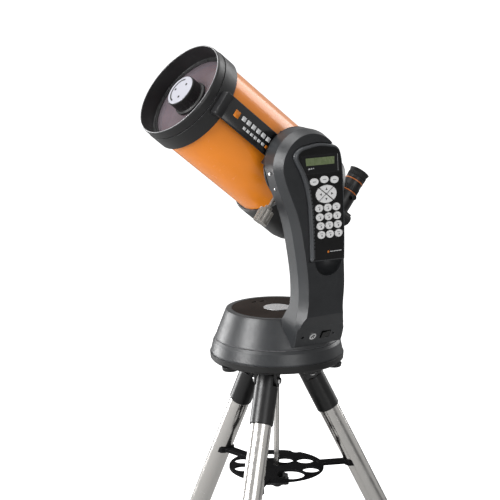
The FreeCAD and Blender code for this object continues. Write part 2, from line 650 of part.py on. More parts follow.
def make_foot_pad(angle):
    radius, _ = leg_point(foot_station() - FOOT_AXIS_Z / math.cos(math.radians(LEG_TILT)))
    pad = rod(FOOT_R, at(radius, 0, 0), Z_AXIS, FOOT_H)
    pad.rotate(ORIGIN, Z_AXIS, angle)
    boot = rod(BOOT_R, at(0, 0, foot_station() - 50), Z_AXIS, 70)
    boot = leg_place(boot, angle)
    low = block((-600, -600, -100), (600, 600, FOOT_H))
    pad = pad.fuse(boot.cut(low))
    socket = leg_place(rod(LOWER_R, at(0, 0, foot_station() - 60), Z_AXIS, 40), angle)
    return pad.cut(socket)


def foot_station():
    """Station where the leg's axis meets the floor."""
    return LEG_TOP_Z / math.cos(math.radians(LEG_TILT))


def make_tray():
    tray = rod(TRAY_R, at(0, 0, TRAY_Z - TRAY_HALF), Z_AXIS, 2 * TRAY_HALF)
    radius, _ = leg_point((LEG_TOP_Z - TRAY_Z) / math.cos(math.radians(LEG_TILT)))
    for angle in LEG_ANGLES.values():
        arm = block((TRAY_R - 10, -10, TRAY_Z - 3), (radius - 19, 10, TRAY_Z + 3))
        cup = rod(CUP_R, at(radius, 0, TRAY_Z - 5), Z_AXIS, 10)
        cup = cup.common(block((radius - 40, -CUP_HALF, TRAY_Z - 10), (radius - 6, CUP_HALF, TRAY_Z + 10)))
        arm = arm.fuse(cup)
        arm.rotate(ORIGIN, Z_AXIS, angle)
        arm = arm.cut(leg_place(rod(LEG_R + 0.4, at(0, 0, 130), Z_AXIS, 200), angle))
        tray = tray.fuse(arm)
    tray = tray.fuse(rod(TRAY_HUB[0], at(0, 0, TRAY_Z + TRAY_HUB[1]), Z_AXIS, -TRAY_HUB[1]))
    for x, y, hole in TRAY_HOLES:
        tray = tray.cut(rod(hole, at(x, y, TRAY_Z - 20), Z_AXIS, 40))
    notch = rod(9, at(78, 47, TRAY_Z - 20), Z_AXIS, 40)
    return tray.cut(notch).cut(rod(ROD_R + 0.3, at(0, 0, TRAY_Z - 20), Z_AXIS, 40))


def make_tray_knob():
    top = TRAY_Z + TRAY_HUB[1] - FIT_GAP
    knob = rod(19, at(0, 0, top - 16), Z_AXIS, 16)
    for step in range(6):
        angle = math.radians(step * 60)
        knob = knob.fuse(rod(7, at(18 * math.cos(angle), 18 * math.sin(angle), top - 16), Z_AXIS, 13))
    return knob.cut(rod(ROD_R + RUN_GAP, at(0, 0, top - 30), Z_AXIS, 40))


save("tripod_head", make_tripod_head())
save("centre_rod", rod(ROD_R, at(0, 0, ROD_END), Z_AXIS, HEAD_LOW - 12 - ROD_END))
save("tray", make_tray())
save("tray_knob", make_tray_knob())
for leg, leg_angle in LEG_ANGLES.items():
    upper = pipe(LEG_R, LEG_R - 1.6, at(0, 0, TUBE_START), Z_AXIS, UPPER_END - TUBE_START)
    lower = pipe(LOWER_R, LOWER_R - 1.6, at(0, 0, 270), Z_AXIS, foot_station() - 290)
    save("leg_upper_" + leg, leg_place(upper, leg_angle))
    save("leg_sleeve_" + leg, leg_place(make_sleeve(), leg_angle))
    save("leg_lower_" + leg, leg_place(lower, leg_angle))
    save("leg_foot_" + leg, make_foot_pad(leg_angle))
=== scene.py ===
import json
import math

import bmesh
import bpy
from mathutils import Matrix, Vector


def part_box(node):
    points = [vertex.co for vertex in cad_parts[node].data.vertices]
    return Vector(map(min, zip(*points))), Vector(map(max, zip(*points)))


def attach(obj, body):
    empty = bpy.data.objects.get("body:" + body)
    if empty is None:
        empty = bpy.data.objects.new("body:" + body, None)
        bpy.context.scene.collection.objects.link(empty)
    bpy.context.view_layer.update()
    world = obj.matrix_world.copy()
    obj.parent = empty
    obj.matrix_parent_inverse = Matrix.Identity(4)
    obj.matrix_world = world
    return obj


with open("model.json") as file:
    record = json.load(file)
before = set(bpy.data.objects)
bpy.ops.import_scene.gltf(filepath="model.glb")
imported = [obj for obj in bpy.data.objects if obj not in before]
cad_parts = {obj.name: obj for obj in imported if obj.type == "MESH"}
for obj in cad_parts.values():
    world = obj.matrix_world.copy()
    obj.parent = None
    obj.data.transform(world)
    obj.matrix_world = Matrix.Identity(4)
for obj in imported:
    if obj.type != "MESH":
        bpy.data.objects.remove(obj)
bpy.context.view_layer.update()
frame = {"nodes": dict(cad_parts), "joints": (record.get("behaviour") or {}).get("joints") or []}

bl_info = {
    "name": "Single-arm telescope",
    "version": (1, 0, 0),
    "blender": (4, 5, 0),
    "location": "View3D > Sidebar > Telescope",
    "description": "Looks for a catadioptric telescope on a single-arm mount and a tripod",
    "category": "Object",
}

NODES = frame["nodes"]
UP = Vector((0, 0, 1))
IN_PLACE = Matrix.Identity(4)  # for pieces whose points are already in the frame


# ---- Places, read from the frame ----

def joint(name):
    """The record of one joint."""
    for entry in frame["joints"]:
        if entry["name"] == name:
            return entry
    raise KeyError(name)


TUBE_AXIS = Vector(joint("tube_slide")["axis"]).normalized()
TUBE_UP = Vector(joint("eyepiece_slide")["axis"]).normalized()
SIDE = TUBE_UP.cross(TUBE_AXIS).normalized()
TUBE_LINE = Vector(joint("diagonal_turn")["pos_m"])


def tube_matrix(origin):
    """Local frame of the tube: X up across it, Y to the far side, Z along it to the front."""
    far = TUBE_AXIS.cross(TUBE_UP)
    matrix = Matrix((TUBE_UP, far, TUBE_AXIS)).transposed().to_4x4()
    matrix.translation = origin
    return matrix


def axis_matrix(origin, axis, across):
    """Local frame with Z along axis and X as near across as it can be."""
    z_axis = Vector(axis).normalized()
    x_axis = (Vector(across) - Vector(across).dot(z_axis) * z_axis).normalized()
    matrix = Matrix((x_axis, z_axis.cross(x_axis), z_axis)).transposed().to_4x4()
    matrix.translation = origin
    return matrix


# ---- Shader groups ----

DRAWN = (900.0, 900.0, 12.0)  # lines per metre across and along drawn metal


def group(name, inputs, outputs):
    """A shader node group with float outputs; returns its tree and its two end nodes."""
    tree = bpy.data.node_groups.new(name, "ShaderNodeTree")
    for socket, kind, default in inputs:
        made = tree.interface.new_socket(socket, in_out="INPUT", socket_type=kind)
        made.default_value = default
    for socket in outputs:
        tree.interface.new_socket(socket, in_out="OUTPUT", socket_type="NodeSocketFloat")
    return tree, tree.nodes.new("NodeGroupInput"), tree.nodes.new("NodeGroupOutput")


def feed(tree, node, inputs):
    """Fill a node's inputs, each by a link from a socket or with a plain value."""
    for key, value in inputs.items():
        if isinstance(value, bpy.types.NodeSocket):
            tree.links.new(value, node.inputs[key])
        else:
            node.inputs[key].default_value = value


def add(tree, kind, inputs=None, **settings):
    """Add one node: settings are its attributes, inputs are sockets or plain values."""
    node = tree.nodes.new(kind)
    for key, value in settings.items():
        setattr(node, key, value)
    feed(tree, node, inputs or {})
    return node


def maths(tree, operation, first, second, **settings):
    inputs = {0: first, 1: second}
    return add(tree, "ShaderNodeMath", inputs, operation=operation, **settings).outputs[0]


def ramp_range(tree, value, low, high, to_low=0.0, to_high=1.0):
    inputs = {0: value, 1: low, 2: high, 3: to_low, 4: to_high}
    return add(tree, "ShaderNodeMapRange", inputs).outputs[0]


def noise(tree, place, scale, detail, roughness, distortion=0.0):
    inputs = {"Vector": place, "Scale": scale, "Detail": detail, "Roughness": roughness,
              "Distortion": distortion}
    return add(tree, "ShaderNodeTexNoise", inputs).outputs[0]


def object_place(tree):
    return add(tree, "ShaderNodeTexCoord").outputs["Object"]


def grain_group():
    """Fine grain, broad tone and smudges of a moulded or coated surface."""
    tree, given, result = group(
        "Surface Grain",
        [("Grain Size", "NodeSocketFloat", 0.001), ("Tone Size", "NodeSocketFloat", 0.08)],
        ["Height", "Tone", "Smudge"])
    place = object_place(tree)
    fine_scale = maths(tree, "DIVIDE", 1.0, given.outputs["Grain Size"])
    broad_scale = maths(tree, "DIVIDE", 1.0, given.outputs["Tone Size"])
    fine = noise(tree, place, fine_scale, 3.0, 0.6)
    broad = noise(tree, place, broad_scale, 4.0, 0.55, 0.4)
    smudge = noise(tree, place, 55.0, 6.0, 0.7, 1.2)
    feed(tree, result, {"Height": fine,
                        "Tone": ramp_range(tree, broad, 0.32, 0.68),
                        "Smudge": ramp_range(tree, smudge, 0.45, 0.72)})


def wear_and_highlight_group():
    """Mask of edges, broken up by noise; the colour laid on it is partly rubbed wear and partly a
    painted highlight along edges.
    """
    tree, given, result = group(
        "Edge Wear And Highlight",
        [("Width", "NodeSocketFloat", 0.0012), ("Amount", "NodeSocketFloat", 0.5)],
        ["Mask"])
    rounded = add(tree, "ShaderNodeBevel", {"Radius": given.outputs["Width"]}, samples=4).outputs[0]
    plain = add(tree, "ShaderNodeNewGeometry").outputs["Normal"]
    match = add(tree, "ShaderNodeVectorMath", {0: rounded, 1: plain},
                operation="DOT_PRODUCT").outputs["Value"]
    edge = ramp_range(tree, match, 0.995, 0.88)
    broken = ramp_range(tree, noise(tree, object_place(tree), 140.0, 5.0, 0.65), 0.38, 0.62)
    both = maths(tree, "MULTIPLY", edge, broken)
    mask = maths(tree, "MULTIPLY", both, given.outputs["Amount"], use_clamp=True)
    feed(tree, result, {"Mask": mask})


def dust_group():
    """Mask of fine dust on surfaces that face up."""
    tree, given, result = group(
        "Settled Dust", [("Amount", "NodeSocketFloat", 0.2)], ["Mask"])
    normal = add(tree, "ShaderNodeNewGeometry").outputs["Normal"]
    facing = add(tree, "ShaderNodeSeparateXYZ", {0: normal}).outputs["Z"]
    upward = ramp_range(tree, facing, 0.35, 1.0)
    spotted = ramp_range(tree, noise(tree, object_place(tree), 420.0, 4.0, 0.8), 0.48, 0.75)
    both = maths(tree, "MULTIPLY", upward, spotted)
    mask = maths(tree, "MULTIPLY", both, given.outputs["Amount"], use_clamp=True)
    feed(tree, result, {"Mask": mask})


def brushed_group():
    """Fine lines drawn out along one axis of a metal, with height and tone."""
    tree, given, result = group(
        "Brushed Lines", [("Stretch", "NodeSocketVector", DRAWN)], ["Height", "Tone"])
    drawn = add(tree, "ShaderNodeVectorMath", {0: object_place(tree), 1: given.outputs["Stretch"]},
                operation="MULTIPLY").outputs[0]
    lines = noise(tree, drawn, 1.0, 4.0, 0.6)
    feed(tree, result, {"Height": lines, "Tone": ramp_range(tree, lines, 0.3, 0.7)})


# ---- Materials ----

DUST_COLOUR = (0.55, 0.54, 0.52, 1.0)
COAT_TONE_SIZE = 0.09  # metres
EDGE_RADIUS = 0.0008  # metres, rounding shaded on coated edges
GLASS_IOR = 1.5


def new_material(name):
    """A material with a Principled shader on its output."""
    material = bpy.data.materials.new(name)
    material.use_nodes = True
    tree = material.node_tree
    tree.nodes.clear()
    shader = tree.nodes.new("ShaderNodeBsdfPrincipled")
    output = tree.nodes.new("ShaderNodeOutputMaterial")
    tree.links.new(shader.outputs[0], output.inputs["Surface"])
    return material, tree, shader


def placed(tree, name, inputs=None):
    """One of the shader groups, put into a tree."""
    return add(tree, "ShaderNodeGroup", inputs, node_tree=bpy.data.node_groups[name])


def shade(colour, factor):
    return tuple(min(1.0, part * factor) for part in colour[:3]) + (1.0,)


def mix_colour(tree, share, first, second):
    """Mix two colours, each a tuple or a socket, by a share."""
    inputs = {0: share, 6: first, 7: second}  # 6 and 7 are the node's colour inputs
    return add(tree, "ShaderNodeMix", inputs, data_type="RGBA").outputs[2]


def toned(tree, tone, colour, vary):
    """A colour that runs from darker to lighter along a tone."""
    return mix_colour(tree, tone, shade(colour, 1.0 - vary), shade(colour, 1.0 + vary))


def coated(name, colour, rough=0.45, grain=0.0008, depth=0.00003, wear_and_highlight=0.18,
           wear_and_highlight_colour=(0.20, 0.20, 0.21), dust=0.03, vary=0.15, metallic=0.0, coat=0.0,
           coat_rough=0.08, specular=0.5):
    """Paint, moulded plastic or rubber with grain, uneven tone, edges recoloured for rubbed wear
    and for a painted highlight, and a little dust.
    """
    material, tree, shader = new_material(name)
    surface = placed(tree, "Surface Grain", {"Grain Size": grain, "Tone Size": COAT_TONE_SIZE})
    base = toned(tree, surface.outputs["Tone"], colour, vary)
    # The edge colour is partly rubbed wear and partly a painted highlight along the edges.
    edges = placed(tree, "Edge Wear And Highlight", {"Amount": wear_and_highlight})
    base = mix_colour(tree, edges.outputs["Mask"], base, wear_and_highlight_colour + (1.0,))
    settled = placed(tree, "Settled Dust", {"Amount": dust})
    base = mix_colour(tree, settled.outputs["Mask"], base, DUST_COLOUR)
    uneven = ramp_range(tree, surface.outputs["Smudge"], 0.0, 1.0,
                        rough * 0.88, min(1.0, rough * 1.2))
    rounded = add(tree, "ShaderNodeBevel", {"Radius": EDGE_RADIUS}, samples=4).outputs[0]
    bump = add(tree, "ShaderNodeBump", {"Distance": depth, "Strength": 1.0,
                                        "Height": surface.outputs["Height"], "Normal": rounded})
    feed(tree, shader, {"Base Color": base, "Roughness": uneven, "Normal": bump.outputs[0],
                        "Metallic": metallic, "Coat Weight": coat, "Coat Roughness": coat_rough,
                        "Specular IOR Level": specular})
    return material


def metal(name, colour, rough=0.22, stretch=DRAWN, depth=0.000004, vary=0.12):
    """Bare metal with drawn lines and faint smudges."""
    material, tree, shader = new_material(name)
    lines = placed(tree, "Brushed Lines", {"Stretch": stretch})
    smudge = placed(tree, "Surface Grain").outputs["Smudge"]
    uneven = ramp_range(tree, smudge, 0.0, 1.0, rough * 0.8, min(1.0, rough * 1.5))
    bump = add(tree, "ShaderNodeBump", {"Distance": depth, "Strength": 1.0,
                                        "Height": lines.outputs["Height"]})
    feed(tree, shader, {"Base Color": toned(tree, lines.outputs["Tone"], colour, vary),
                        "Roughness": uneven, "Normal": bump.outputs[0], "Metallic": 1.0})
    return material


def lens_glass(name, tint):
    """Coated optical glass: about half clear, tinted, with faint smudges."""
    material, tree, shader = new_material(name)
    surface = placed(tree, "Surface Grain", {"Tone Size": 0.12})
    faint = ramp_range(tree, surface.outputs["Smudge"], 0.0, 1.0, 0.03, 0.09)
    feed(tree, shader, {"Base Color": toned(tree, surface.outputs["Tone"], tint, 0.1),
                        "Roughness": faint, "IOR": GLASS_IOR, "Alpha": 0.55, "Coat Weight": 0.2})
    return material


def display_material():
    """Unlit display: green-grey with faint rows of character cells."""
    material, tree, shader = new_material("Display")
    turned = add(tree, "ShaderNodeMapping",
                 {"Rotation": (math.radians(90), 0, 0), "Vector": object_place(tree)})
    cells = add(tree, "ShaderNodeTexBrick",
                {"Vector": turned.outputs[0], "Scale": 1.0, "Mortar Size": 0.00035,
                 "Brick Width": 0.0036, "Row Height": 0.0052,
                 "Color1": (0.185, 0.235, 0.115, 1.0), "Color2": (0.200, 0.250, 0.125, 1.0),
                 "Mortar": (0.215, 0.27, 0.14, 1.0)}, offset=0.0)
    surface = placed(tree, "Surface Grain", {"Tone Size": 0.02})
    base = mix_colour(tree, surface.outputs["Tone"], cells.outputs["Color"],
                      (0.16, 0.20, 0.10, 1.0))
    rough = ramp_range(tree, surface.outputs["Smudge"], 0.0, 1.0, 0.25, 0.4)
    feed(tree, shader, {"Base Color": base, "Roughness": rough})
    return material


# ---- Meshes ----

CAD_SHARP = 28.0  # degrees; steeper edges of CAD pieces stay sharp


def finish_mesh(name, mesh, matrix, material, body, sharp=35.0):
    """Turn a bmesh into a shaded piece that rides on a body."""
    bmesh.ops.recalc_face_normals(mesh, faces=mesh.faces)
    data = bpy.data.meshes.new(name)
    mesh.to_mesh(data)
    mesh.free()
    piece = bpy.data.objects.new(name, data)
    bpy.context.scene.collection.objects.link(piece)
    piece.matrix_world = matrix
    data.materials.append(material)
    data.shade_smooth()
    data.set_sharp_from_angle(angle=math.radians(sharp))
    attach(piece, body)


def polar(radius, turn, height):
    return Vector((radius * math.cos(turn), radius * math.sin(turn), height))


def band(inner, outer, low, high):
    """Profile of a flat ring for lathe."""
    return ((inner, low), (outer, low), (outer, high), (inner, high))


def lathe(profile, steps=96):
    """A bmesh turned round Z from a closed profile of radius and height pairs."""
    mesh = bmesh.new()
    rings = []
    for radius, height in profile:
        turns = [math.tau * step / steps for step in range(steps)] if radius else [0.0]
        rings.append([mesh.verts.new(polar(radius, turn, height)) for turn in turns])
    for first, second in zip(rings, rings[1:] + rings[:1]):
        if len(first) == 1 and len(second) == 1:
            continue
        for step in range(steps):
            following = (step + 1) % steps
            corners = [first[step % len(first)], first[following % len(first)],
                       second[following % len(second)], second[step % len(second)]]
            unique = list(dict.fromkeys(corners))
            if len(unique) > 2:
                mesh.faces.new(unique)
    return mesh


def skin(mesh, rings):
    """Faces of a bmesh between each ring of vertices and the next."""
    for first, second in zip(rings, rings[1:]):
        for index in range(len(first)):
            following = (index + 1) % len(first)
            mesh.faces.new((first[index], first[following], second[following], second[index]))


def ring_solid(loops):
    """A bmesh skinned through closed loops of equal length, ends left open."""
    mesh = bmesh.new()
    skin(mesh, [[mesh.verts.new(point) for point in loop] for loop in loops])
    return mesh


def add_plate(mesh, corners, along):
    """Add a flat plate to a bmesh: a polygon of corners, thickened by the vector along."""
    near = [mesh.verts.new(Vector(corner)) for corner in corners]
    far = [mesh.verts.new(Vector(corner) + Vector(along)) for corner in corners]
    mesh.faces.new(near)
    mesh.faces.new(list(reversed(far)))
    for index in range(len(near)):
        following = (index + 1) % len(near)
        mesh.faces.new((near[index], far[index], far[following], near[following]))


def add_round_plate(mesh, centre, half, corner, low, high):
    """Add a rounded plate in the local XZ plane from Y low to high, its outer edge softened."""
    steps = 6
    outline = []
    for index, (side_x, side_z) in enumerate(((1, 1), (-1, 1), (-1, -1), (1, -1))):
        for step in range(steps + 1):
            angle = math.radians(90 * index + 90 * step / steps)
            outline.append((side_x * (half[0] - corner), side_z * (half[1] - corner), angle))
    soften = min(0.4 * (high - low), 0.25 * corner)
    section = ((0.0, low), (0.0, high - soften),
               (0.3 * soften, high - 0.3 * soften), (soften, high))
    loops = []
    for shrink, level in section:
        reach = corner - shrink
        loops.append([mesh.verts.new((centre[0] + x + reach * math.cos(angle), level,
                                      centre[1] + z + reach * math.sin(angle)))
                      for x, z, angle in outline])
    skin(mesh, loops)
    mesh.faces.new(loops[0])
    mesh.faces.new(loops[-1])


def add_bar(mesh, centre, half, along):
    """Add a small upright rectangular plate in the XZ plane, centred, thickened by along."""
    x, y, z = centre
    corners = [(x - half[0], y, z - half[1]), (x + half[0], y, z - half[1]),
               (x + half[0], y, z + half[1]), (x - half[0], y, z + half[1])]
    add_plate(mesh, corners, along)


def span(node, direction):
    """Lowest and highest reach of a CAD node along a direction."""
    reach = [vertex.co.dot(direction) for vertex in NODES[node].data.vertices]
    return min(reach), max(reach)


def centre_line(node, axis):
    """Matrix at the low end of a round node, with Z along the axis, and the node's length."""
    first = axis.orthogonal().normalized()
    second = axis.cross(first)
    low, high = span(node, axis)
    point = axis * low
    for direction in (first, second):
        point = point + direction * (sum(span(node, direction)) / 2)
    return axis_matrix(point, axis, first), high - low


def tube_front(node):
    """Local frame of the tube on its centre line, at a node's front end."""
    line = TUBE_LINE - TUBE_AXIS * TUBE_LINE.dot(TUBE_AXIS)
    return tube_matrix(line + TUBE_AXIS * span(node, TUBE_AXIS)[1])


def rim_points(node, level, tolerance=0.00002):
    """Outline of a node at one Y, as pairs of X and Z in order round its middle."""
    pairs = {(round(vertex.co.x, 6), round(vertex.co.z, 6))
             for vertex in NODES[node].data.vertices if abs(vertex.co.y - level) < tolerance}
    mid_x = sum(pair[0] for pair in pairs) / len(pairs)
    mid_z = sum(pair[1] for pair in pairs) / len(pairs)
    return sorted(pairs, key=lambda pair: math.atan2(pair[1] - mid_z, pair[0] - mid_x))


def even_outline(points, count):
    """Spread count points evenly along a closed outline."""
    lengths = [0.0]
    for first, second in zip(points, points[1:] + points[:1]):
        lengths.append(lengths[-1] + math.dist(first, second))
    spread = []
    index = 0
    for step in range(count):
        target = lengths[-1] * step / count
        while lengths[index + 1] < target:
            index += 1
        share = (target - lengths[index]) / max(lengths[index + 1] - lengths[index], 1e-9)
        first, second = points[index], points[(index + 1) % len(points)]
        spread.append((first[0] + (second[0] - first[0]) * share,
                       first[1] + (second[1] - first[1]) * share))
    return spread


def inward(points):
    """Inward direction at each point of an anticlockwise outline."""
    found = []
    for index in range(len(points)):
        before, after = points[index - 2], points[(index + 2) % len(points)]
        step = Vector((after[0] - before[0], after[1] - before[1])).normalized()
        found.append(Vector((-step.y, step.x)))
    return found


def cad_look(material, *names):
    """Give CAD nodes a material and smooth shading."""
    for name in names:
        node = NODES[name]
        node.data.materials.clear()
        node.data.materials.append(material)
        node.data.shade_smooth()
        node.data.set_sharp_from_angle(angle=math.radians(CAD_SHARP))


# ---- Settings ----

def colour_property(name, description, default):
    return bpy.props.FloatVectorProperty(name=name, description=description, default=default,
                                         size=3, min=0.0, max=1.0, subtype="COLOR")


def angle_property(name, description, degrees):
    return bpy.props.FloatProperty(name=name, description=description, subtype="ANGLE",
                                   unit="ROTATION", default=math.radians(degrees))


def length_property(name, description, default):
    return bpy.props.FloatProperty(name=name, description=description, default=default,
                                   subtype="DISTANCE", unit="LENGTH")


class TelescopeSettings(bpy.types.PropertyGroup):
    """Colours a user would change on the telescope."""
    tube_colour: colour_property("Tube", "Enamel of the optical tube", (0.86, 0.25, 0.013))
    coat_colour: colour_property("Cells", "Coat of the end castings", (0.010, 0.010, 0.0105))
    arm_colour: colour_property("Arm", "Plastic of arm and turntable", (0.022, 0.0235, 0.0255))
    black_colour: colour_property("Black parts", "Knobs, tray and sleeves", (0.005, 0.005, 0.0053))
    key_colour: colour_property("Keys", "Keys of the hand control", (0.95, 0.95, 0.95))
    steel_colour: colour_property("Legs", "Polished steel tube", (0.74, 0.72, 0.69))


class StudioSettings(bpy.types.PropertyGroup):
    """Camera and lights."""
    azimuth: angle_property("Azimuth", "Turn of the camera about the object", -33.78)
    elevation: angle_property("Elevation", "Height angle of the camera", 11.38)
    distance: length_property("Distance", "Camera to the point it looks at", 2.88)
    lens: bpy.props.FloatProperty(name="Lens", default=113.8, min=10.0,
                                  description="Focal length in millimetres on a 36 mm sensor")
    aim_height: length_property("Aim height", "Height of the point looked at", 0.8508)
    aim_across: length_property("Aim across", "Sideways place of the point looked at", -0.0496)
    floor_size: length_property("Floor", "Side of the floor", 60.0)


# ---- Sizes of the added pieces, in metres; profiles are pairs of radius and height ----

CAP_HOLE_REACH = 0.015
CAP_HOLE_RADIUS = 0.0023
CAP_SLOT = (0.0208, 0.0237)  # inner and outer radius
# level of the painted shade of the cap's holes and slot
CAP_SHADE_LOW = -0.0003
# ring of the painted highlight round the tube's mouth
RIM_HIGHLIGHT = band(0.0898, 0.0909, -0.0003, 0.0002)
BAR_PRINT = (0.00005, 0.0002)  # levels between which the marks on the bar stand
EYEPIECE_BANDS = (("upper", 0.0075, 0.01790), ("lower", 0.0307, 0.01742))  # name, depth, radius
RIB_COUNT = 28
RIB_RADIUS = 0.0168
RIB_HALF = 0.0009
RIB_RISE = 0.0014
SADDLE_BOLT = ((0.0, 0.0), (0.0026, 0.0), (0.0026, 0.0018), (0.0020, 0.0026), (0.0, 0.0026))
SADDLE_BOLT_TURNS = (188, 214)  # degrees round the altitude axis
SADDLE_BOLT_REACH = 0.0650
SADDLE_BOLT_INSET = 0.0042  # along Y from the low side of the saddle's box
TURNTABLE_LIP = 0.006  # the turntable's lowest edge below the plane the trim is set from
SKIRT = ((0.1080, -0.0096), (0.1195, -0.0104), (0.1226, -0.0070), (0.1234, 0.0028),
         (0.1218, 0.0030), (0.1217, -0.0064), (0.1080, -0.0066))
BASE_FOOT = ((0.0, -0.0170), (0.0125, -0.0170), (0.0140, -0.0155), (0.0150, -0.0098),
             (0.0, -0.0098))
BASE_FOOT_REACH = 0.110
BASE_FOOT_TURN = -174.8  # degrees
DOOR_RING = band(0.0832, 0.0847, 0.0834, 0.0837)
SEAM = ((0.1126, 0.0300), (0.1144, 0.0301), (0.1144, 0.0307), (0.1126, 0.0312))
FRAME_SECTION = (  # share of the frame's width, further inset, level from the shell's face
    (0.0, -0.0002, 0.0070), (0.0, -0.0002, 0.0032), (0.10, 0.0, 0.0010), (0.35, 0.0, -0.0006),
    (0.70, 0.0, -0.0012), (0.92, 0.0, -0.0010), (1.0, 0.0, -0.0004), (1.0, 0.0004, 0.0006))
NOTCH_COUNT = 17
NOTCH_SPACING = 0.0066
NOTCH_START = 0.078  # below the top of the hand control
PRINT_LIFT = (0, -0.0003, 0)
KEY_LIFT = (0, -0.0002, 0)
NUMBER_KEY_HALF = 0.0081
HINGE_BOLT = ((0.0, 0.0), (0.0066, 0.0), (0.0066, 0.0030), (0.0056, 0.0042), (0.0, 0.0042))
HINGE_BOLT_OUT = 0.0213  # from the middle of the hinge out along its axis


# ---- Operators ----

class TELESCOPE_OT_optical_tube(bpy.types.Operator):
    """Finish the tube, its end castings and the optics"""
    bl_idname = "telescope.optical_tube"
    bl_label = "Optical tube"

    def execute(self, context):
        look = context.scene.telescope
        enamel = coated("Tube Enamel", look.tube_colour, rough=0.25, grain=0.0006, depth=0.000006,
                        wear_and_highlight=0.0, dust=0.02, vary=0.05, coat=0.3, coat_rough=0.06)
        coat = coated("Cell Coat", look.coat_colour, rough=0.42, wear_and_highlight=0.5, depth=0.00002)
        black = coated("Inner Black", look.black_colour, rough=0.6, wear_and_highlight=0.25)
        anodised = coated("Black Anodised", look.black_colour, rough=0.32, wear_and_highlight=0.6, depth=0.00001)
        mirror = metal("Mirror Coating", (0.85, 0.86, 0.88), rough=0.04)
        satin = coated("Satin Cap", (0.56, 0.56, 0.62), rough=0.32, grain=0.0004, depth=0.000002,
                       vary=0.05, metallic=0.5)
        cad_look(enamel, "tube_shell")
        cad_look(coat, "front_cell", "rear_cell")
        cad_look(black, "corrector_ring", "baffle_tube", "secondary_housing")
        cad_look(anodised, "dovetail_bar", "visual_back")
        cad_look(lens_glass("Corrector Glass", (0.17, 0.14, 0.16)), "corrector_plate")
        cad_look(mirror, "primary_mirror", "secondary_mirror")
        cad_look(satin, "collimation_cap")
        cad_look(metal("Carrier Metal", (0.6, 0.6, 0.6), rough=0.35), "mirror_carrier")
        self.add_cap_hole_shade(black)
        self.add_rim_highlight()
        return {"FINISHED"}

    def add_cap_hole_shade(self, black):
        """Painted shade: dark discs and an arc on the round cap's face, standing for the shade
        inside its three screw holes and its slot.
        """
        marks = bmesh.new()
        for step in range(3):
            centre = polar(CAP_HOLE_REACH, math.radians(90 + 120 * step), CAP_SHADE_LOW)
            corners = [centre + polar(CAP_HOLE_RADIUS, math.tau * k / 16, 0) for k in range(16)]
            add_plate(marks, corners, (0, 0, 0.0006))
        inner, outer = CAP_SLOT
        for step in range(24):
            first, second = (math.radians(12 + 6.5 * part) for part in (step, step + 1))
            corners = [polar(reach, turn, CAP_SHADE_LOW) for reach, turn in
                       ((inner, first), (outer, first), (outer, second), (inner, second))]
            add_plate(marks, corners, (0, 0, 0.0005))
        finish_mesh("cap_hole_shade", marks, tube_front("collimation_cap"), black, "optical_tube")

    def add_rim_highlight(self):
        """A painted highlight: a lighter ring round the mouth of the tube, standing for the bright
        line of light along its thin lip.
        """
        rim_highlight_paint = coated("Rim Painted Highlight", (0.42, 0.42, 0.43), rough=0.35, dust=0.0, wear_and_highlight=0.0,
                      metallic=0.5)
        finish_mesh("rim_painted_highlight", lathe(RIM_HIGHLIGHT, 160), tube_front("front_cell"), rim_highlight_paint, "optical_tube")


class TELESCOPE_OT_bar_trim(bpy.types.Operator):
    """Plate, end cap and plain marks on the dovetail bar"""
    bl_idname = "telescope.bar_trim"
    bl_label = "Bar trim"

    def execute(self, context):
        look = context.scene.telescope
        outer = -span("dovetail_bar", SIDE)[1]
        front = span("dovetail_bar", TUBE_AXIS)[1]
        middle_up = sum(span("dovetail_bar", TUBE_UP)) / 2
        origin = TUBE_AXIS * front + TUBE_UP * middle_up - SIDE * outer
        place = Matrix((-TUBE_UP, SIDE, TUBE_AXIS)).transposed().to_4x4()
        place.translation = origin
        plate = bmesh.new()
        add_round_plate(plate, (0.0, -0.150), (0.0213, 0.137), 0.004, -0.0003, 0.0001)
        plate_black = coated("Plate Black", (0.004, 0.004, 0.0045), rough=0.22, wear_and_highlight=0.1,
                             depth=0.000003, coat=0.4)
        finish_mesh("bar_plate", plate, place, plate_black, "optical_tube")
        marks = bmesh.new()
        for step in range(7):
            centre = (-0.0035, -0.0540 - 0.0125 * step)
            add_round_plate(marks, centre, (0.0040, 0.0046), 0.0008, *BAR_PRINT)
        for step in range(6):
            centre = (0.0090, -0.0640 - 0.0095 * step)
            add_round_plate(marks, centre, (0.0026, 0.0034), 0.0006, *BAR_PRINT)
        pale = coated("Printed Pale", (0.80, 0.81, 0.82), rough=0.5, wear_and_highlight=0.0, dust=0.0, vary=0.05)
        finish_mesh("bar_marks", marks, place, pale, "optical_tube")
        accent = bmesh.new()
        add_round_plate(accent, (-0.0020, -0.0370), (0.0062, 0.0062), 0.0012, *BAR_PRINT)
        add_round_plate(accent, (0.0090, -0.1210), (0.0026, 0.0030), 0.0006, *BAR_PRINT)
        bright = coated("Printed Accent", look.tube_colour, rough=0.5, wear_and_highlight=0.0, dust=0.0,
                        vary=0.05)
        finish_mesh("bar_accent", accent, place, bright, "optical_tube")
        cap = bmesh.new()
        add_round_plate(cap, (0.0, -0.006), (0.0222, 0.0085), 0.0035, -0.0125, 0.0016)
        cap_coat = coated("Bar Cap Coat", (0.013, 0.013, 0.014), rough=0.34, wear_and_highlight=0.35)
        finish_mesh("bar_end_cap", cap, place, cap_coat, "optical_tube")
        return {"FINISHED"}


